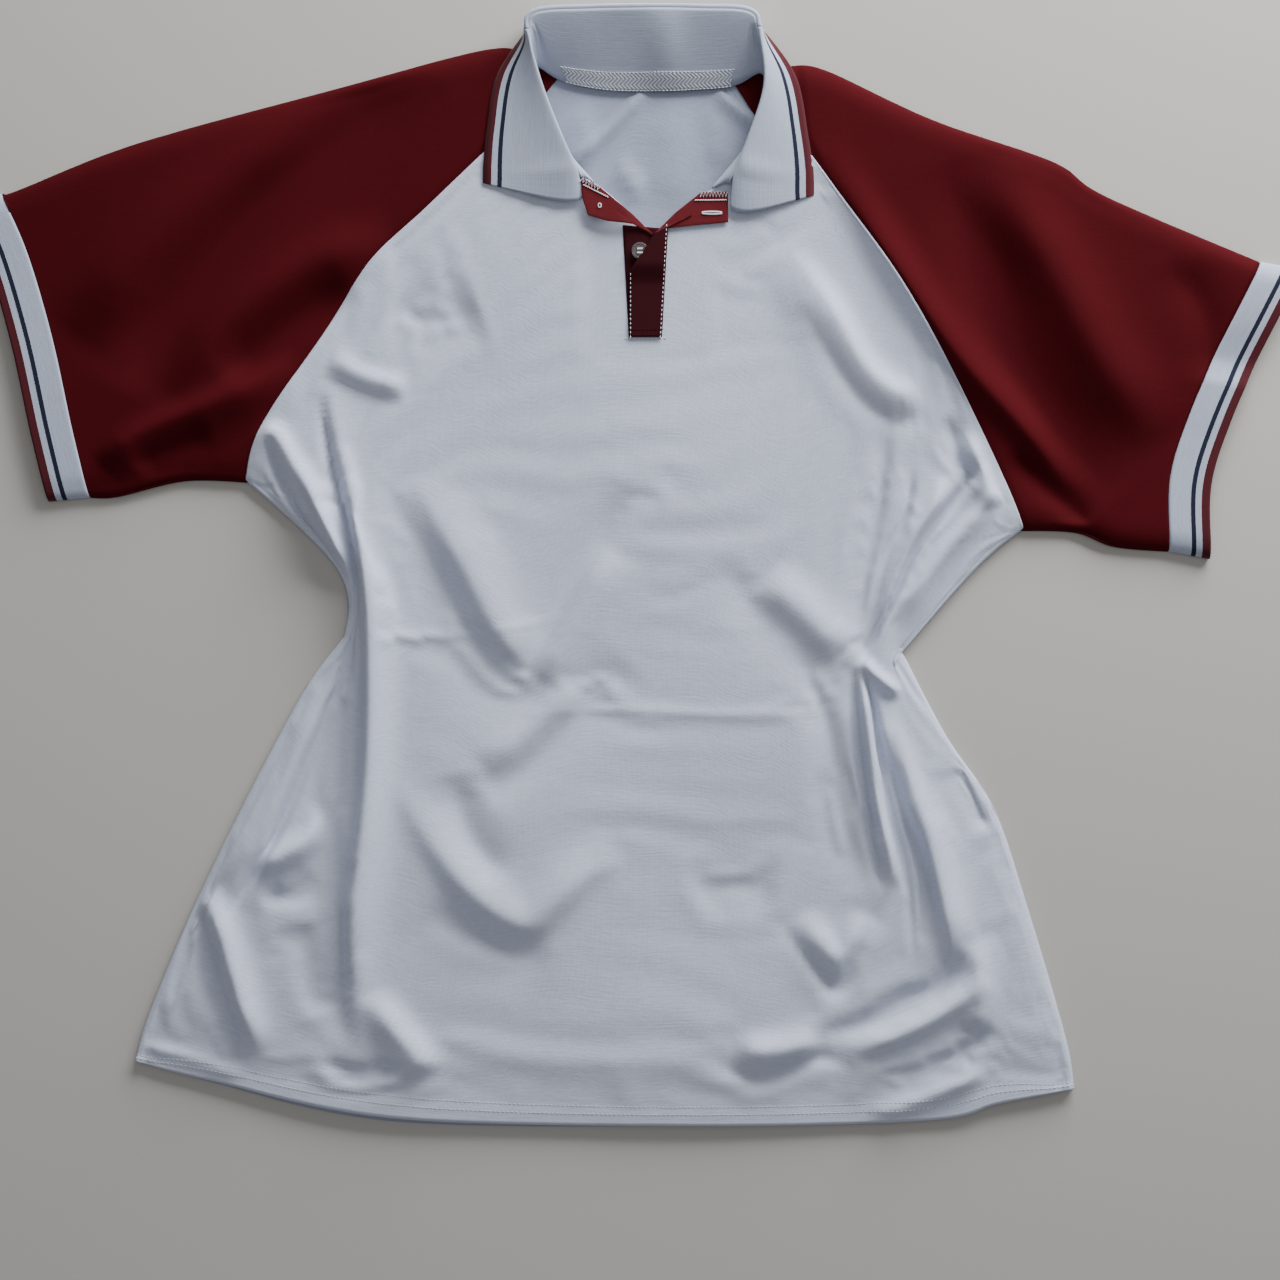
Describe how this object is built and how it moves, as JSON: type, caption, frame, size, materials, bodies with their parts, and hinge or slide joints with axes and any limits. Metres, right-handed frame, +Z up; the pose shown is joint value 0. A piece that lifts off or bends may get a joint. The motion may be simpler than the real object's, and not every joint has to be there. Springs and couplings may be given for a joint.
{
  "type": "polo shirt",
  "caption": "Short-sleeved raglan polo shirt laid flat, with knitted collar and cuffs, a two-band placket, buttons and folding sleeves.",
  "frame": {"origin": "middle of the footprint, on the surface that the shirt lies on", "axes": "+Z up out of the shirt's front, +Y from hem to collar, +X towards the wearer's left sleeve"},
  "size_m": [0.872, 0.7216, 0.0226],
  "materials": {
    "white_jersey": "plain knitted jersey, matt, cool white",
    "maroon_jersey": "plain knitted jersey, matt, dark maroon",
    "white_rib": "flat-knit rib, matt, white with maroon and navy edge stripes",
    "maroon_band": "doubled jersey band, matt, dark maroon",
    "band_reverse": "wrong side of the band, brushed, brighter red",
    "white_thread": "polyester sewing thread, slight sheen",
    "clear_button": "clear moulded plastic, glossy"
  },
  "bodies": {
    "shirt": {"front_panel": "white_jersey", "front_hem": "white_jersey", "back_panel": "white_jersey", "back_hem": "white_jersey", "right_sleeve_shoulder": "maroon_jersey", "left_sleeve_shoulder": "maroon_jersey", "collar_stand": "white_rib", "back_collar_leaf": "white_rib", "neck_tape": "white_rib", "placket_under_band": "maroon_band", "placket_over_band": "maroon_band", "right_placket_flap": "band_reverse", "left_placket_flap": "band_reverse", "upper_buttonhole": "white_thread"},
    "right_sleeve": {"right_sleeve_arm": "maroon_jersey", "right_cuff": "white_rib"},
    "left_sleeve": {"left_sleeve_arm": "maroon_jersey", "left_cuff": "white_rib"},
    "right_collar": {"right_collar_leaf": "white_rib"},
    "left_collar": {"left_collar_leaf": "white_rib"},
    "button_lower": {"lower_button": "clear_button", "lower_button_thread": "white_thread"},
    "button_upper": {"upper_button": "clear_button", "upper_button_thread": "white_thread"}
  },
  "joints": [
    {"name": "right_sleeve_fold", "type": "hinge", "parent": "shirt", "child": "right_sleeve", "pos_m": [-0.26394, 0.05764, 0.0081], "axis": [0.0273, 0.9996, 0], "range_deg": [0, 175]},
    {"name": "left_sleeve_fold", "type": "hinge", "parent": "shirt", "child": "left_sleeve", "pos_m": [0.2672, 0.02559, 0.0081], "axis": [0.1968, -0.9804, 0], "range_deg": [0, 175]},
    {"name": "right_collar_lift", "type": "hinge", "parent": "shirt", "child": "right_collar", "pos_m": [-0.0287, 0.24011, 0.015], "axis": [-0.2955, 0.9513, 0.0877], "range_deg": [0, 95]},
    {"name": "left_collar_lift", "type": "hinge", "parent": "shirt", "child": "left_collar", "pos_m": [0.0623, 0.23311, 0.015], "axis": [-0.1346, -0.9872, -0.0853], "range_deg": [0, 95]},
    {"name": "lower_button_turn", "type": "hinge", "parent": "shirt", "child": "button_lower", "pos_m": [0.0058, 0.20551, 0.009], "axis": [0, 0, 1], "range_deg": [-60, 60]},
    {"name": "upper_button_turn", "type": "hinge", "parent": "shirt", "child": "button_upper", "pos_m": [-0.0187, 0.23511, 0.009], "axis": [0, 0, 1], "range_deg": [-60, 60]}
  ]
}
